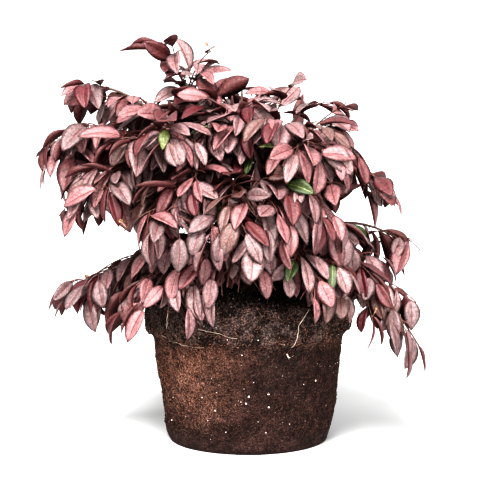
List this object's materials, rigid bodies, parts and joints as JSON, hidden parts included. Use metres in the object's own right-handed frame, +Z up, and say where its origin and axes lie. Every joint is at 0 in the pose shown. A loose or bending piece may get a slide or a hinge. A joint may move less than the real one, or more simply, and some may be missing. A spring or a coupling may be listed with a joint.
{
  "type": "chinese fringe flower shrub on its bare root ball",
  "caption": "Purple-leaved Chinese fringe flower shrub: a dome of arching leafy boughs on a short trunk, standing on its tapered root ball, lifted from a nursery pot.",
  "frame": {"origin": "centre of the root ball's flat underside", "axes": "+Z up along the root ball's axis; -Y faces the viewer of the picture, and +X is the viewer's right"},
  "size_m": [0.5165, 0.4994, 0.5289],
  "materials": {
    "root_ball": "moist, matt, fibrous mat of roots and bark compost",
    "bark": "matt, fissured grey-brown bark",
    "foliage": "satin, plum to dusky pink leaves"
  },
  "bodies": {
    "root": {"root_ball": "root_ball", "trunk": "bark", "bough_top_left": "bark", "bough_crown": "bark", "bough_top_right": "bark", "bough_top_front": "bark", "bough_upper_left": "bark", "bough_upper_front_left": "bark", "bough_upper_front_right": "bark", "bough_upper_right": "bark", "bough_upper_back_right": "bark", "bough_upper_back_left": "bark", "bough_mid_left": "bark", "bough_mid_left_front": "bark", "bough_mid_front_left": "bark", "bough_mid_front": "bark", "bough_mid_front_right": "bark", "bough_mid_right_front": "bark", "bough_mid_right": "bark", "bough_mid_back_right": "bark", "bough_mid_back": "bark", "bough_mid_back_left": "bark", "bough_skirt_left": "bark", "bough_skirt_front_left": "bark", "bough_skirt_front": "bark", "bough_skirt_front_right": "bark", "bough_skirt_right_front": "bark", "bough_skirt_right": "bark", "bough_skirt_back_right": "bark", "bough_skirt_back": "bark", "bough_skirt_back_left": "bark", "foliage_top_left": "foliage", "foliage_crown": "foliage", "foliage_top_right": "foliage", "foliage_top_front": "foliage", "foliage_upper_left": "foliage", "foliage_upper_front_left": "foliage", "foliage_upper_front_right": "foliage", "foliage_upper_right": "foliage", "foliage_upper_back_right": "foliage", "foliage_upper_back_left": "foliage", "foliage_mid_left": "foliage", "foliage_mid_left_front": "foliage", "foliage_mid_front_left": "foliage", "foliage_mid_front": "foliage", "foliage_mid_front_right": "foliage", "foliage_mid_right_front": "foliage", "foliage_mid_right": "foliage", "foliage_mid_back_right": "foliage", "foliage_mid_back": "foliage", "foliage_mid_back_left": "foliage", "foliage_skirt_left": "foliage", "foliage_skirt_front_left": "foliage", "foliage_skirt_front": "foliage", "foliage_skirt_front_right": "foliage", "foliage_skirt_right_front": "foliage", "foliage_skirt_right": "foliage", "foliage_skirt_back_right": "foliage", "foliage_skirt_back": "foliage", "foliage_skirt_back_left": "foliage"}
  },
  "joints": []
}
